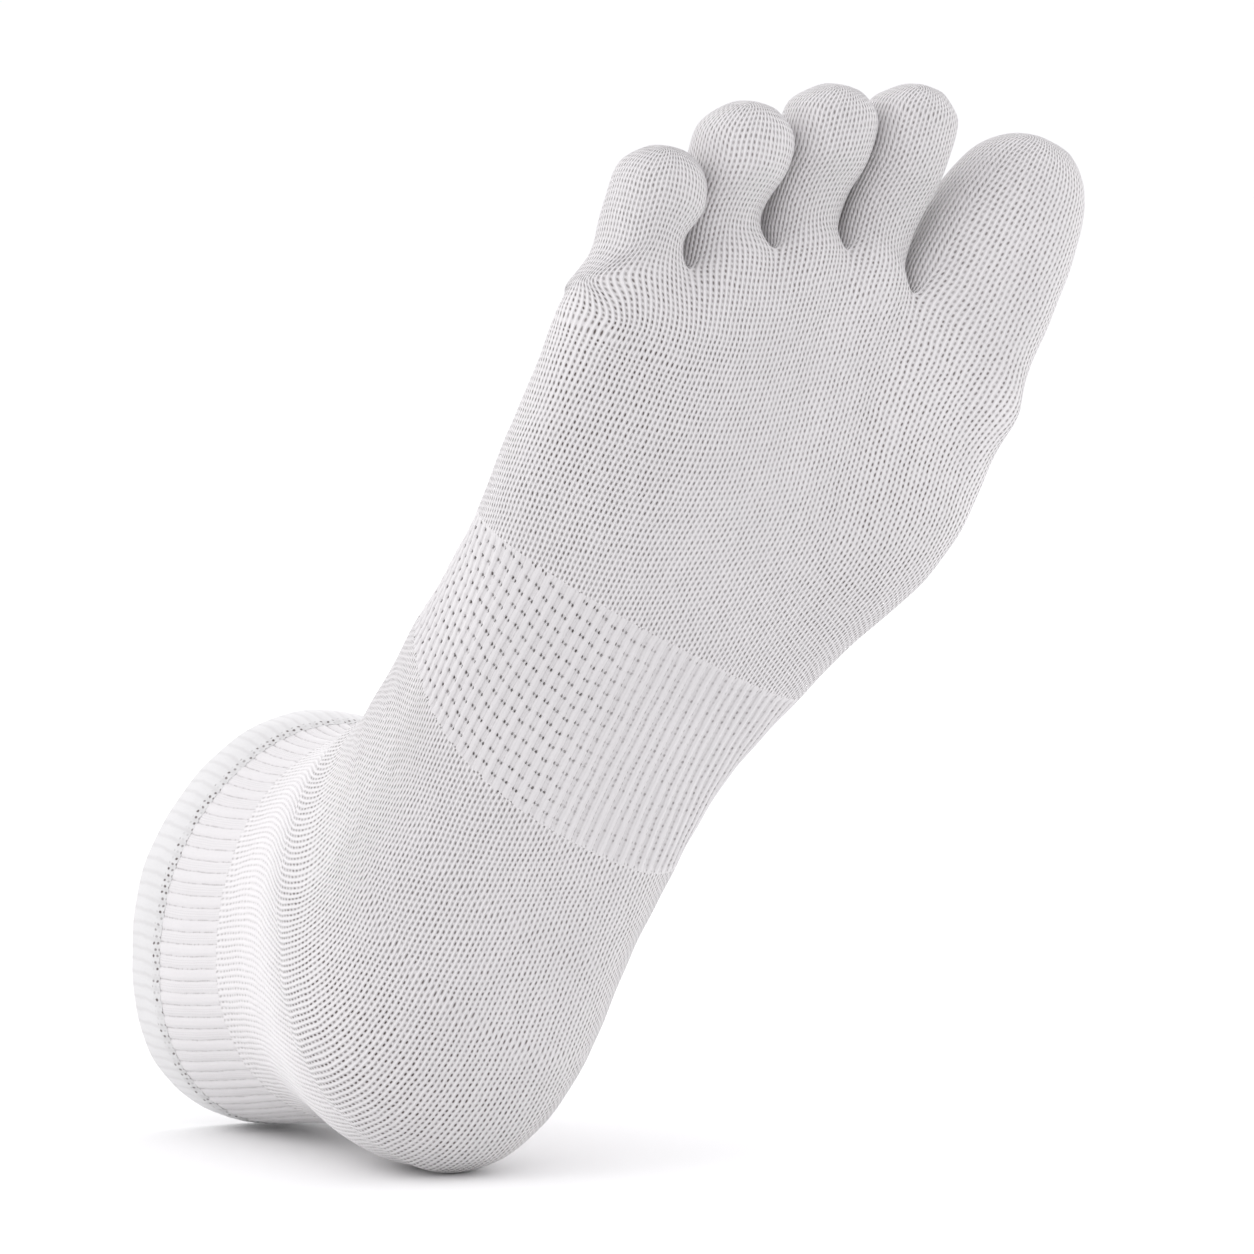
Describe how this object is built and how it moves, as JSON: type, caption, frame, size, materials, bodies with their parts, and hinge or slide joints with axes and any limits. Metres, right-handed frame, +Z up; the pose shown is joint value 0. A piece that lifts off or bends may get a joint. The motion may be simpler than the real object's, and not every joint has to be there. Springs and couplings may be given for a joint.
{
  "type": "toe sock",
  "caption": "Ankle-height knitted toe sock for a right foot, in worn form: separate toe tubes, elastic arch band, rounded heel pocket, ribbed cuff with a turned hem.",
  "frame": {"origin": "middle of the ankle opening, at the rim of the cuff", "axes": "+Y out of the ankle opening along the leg, +Z up with the toes (the foot leans 27 degrees towards +X, the big toe's side), sole facing -Y; the sock stands on its heel and on the back of its cuff"},
  "size_m": [0.1808, 0.1093, 0.2262],
  "materials": {
    "body_knit": "matt",
    "cuff_welt_knit": "matt",
    "arch_band_knit": "matt"
  },
  "bodies": {
    "root": {"cuff_welt": "cuff_welt_knit", "cuff_rib": "body_knit", "ankle": "body_knit", "heel_pocket": "body_knit", "arch_band": "arch_band_knit", "forefoot": "body_knit", "big_toe": "body_knit", "second_toe": "body_knit", "third_toe": "body_knit", "fourth_toe": "body_knit", "little_toe": "body_knit"}
  },
  "joints": []
}
